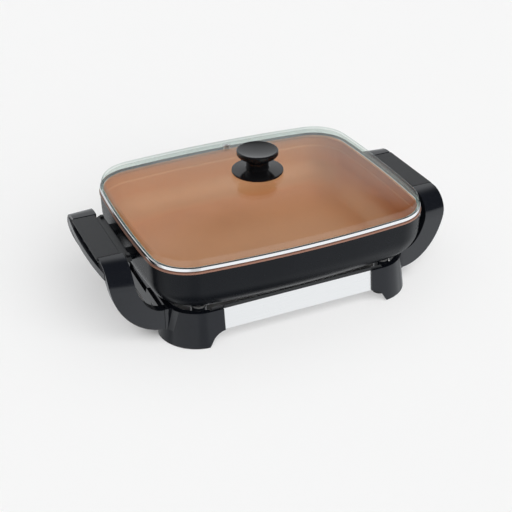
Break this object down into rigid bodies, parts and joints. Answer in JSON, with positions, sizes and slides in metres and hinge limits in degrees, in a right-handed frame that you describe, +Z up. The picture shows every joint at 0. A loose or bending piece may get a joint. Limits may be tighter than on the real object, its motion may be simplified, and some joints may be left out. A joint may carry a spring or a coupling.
{
  "type": "electric skillet",
  "caption": "Electric skillet: black base with steel bands and loop handles, lift-out cast pan lined in copper-coloured ceramic, and a lift-off domed glass lid",
  "frame": {"origin": "on the table, under the middle of the pan", "axes": "X from handle to handle, the terminals at +X; Y from front to back; Z up"},
  "size_m": [0.5012, 0.3126, 0.1953],
  "materials": {
    "gloss_plastic": "polished black phenolic",
    "rail_plastic": "satin black",
    "grip_plastic": "fine matte texture",
    "band_steel": "finely brushed along its length",
    "rim_steel": "bright polished stainless steel",
    "screw_steel": "zinc plated",
    "foot_rubber": "matte",
    "pad_rubber": "matte silicone",
    "pan_enamel": "gloss black enamel on die-cast aluminium",
    "copper_ceramic": "satin copper-coloured non-stick coating",
    "sheath_steel": "heat-darkened sheath",
    "pin_brass": "plain",
    "insulator_ceramic": "unglazed",
    "lid_glass": "clear tempered glass"
  },
  "bodies": {
    "base": {"base_end_left": "gloss_plastic", "base_end_right": "gloss_plastic", "front_rail": "rail_plastic", "rear_rail": "rail_plastic", "front_band": "band_steel", "rear_band": "band_steel", "rail_screws": "screw_steel", "rubber_feet": "foot_rubber", "rest_pads": "pad_rubber", "handle_frame_left": "gloss_plastic", "handle_frame_right": "gloss_plastic", "handle_screws": "screw_steel"},
    "pan": {"pan_shell": "pan_enamel", "ceramic_coating": "copper_ceramic", "handle_tray_left": "rail_plastic", "handle_tray_right": "rail_plastic", "grip_plate_left": "grip_plastic", "grip_plate_right": "grip_plastic", "tray_screws": "screw_steel", "grip_screws": "screw_steel", "heating_element": "sheath_steel", "terminal_pins": "pin_brass", "terminal_insulators": "insulator_ceramic", "sensor_well": "sheath_steel", "probe_guard": "rail_plastic", "guard_screws": "screw_steel"},
    "lid": {"lid_glass": "lid_glass", "lid_rim": "rim_steel", "steam_vent": "screw_steel", "knob_flange": "gloss_plastic", "knob_grip": "gloss_plastic", "knob_gasket": "pad_rubber", "knob_washer": "screw_steel", "knob_screw": "screw_steel"}
  },
  "joints": [
    {"name": "pan_lift", "type": "slide", "parent": "base", "child": "pan", "axis": [0, 0, 1], "range_m": [0, 0.1]},
    {"name": "lid_lift", "type": "slide", "parent": "pan", "child": "lid", "axis": [0, 0, 1], "range_m": [0, 0.12]}
  ]
}
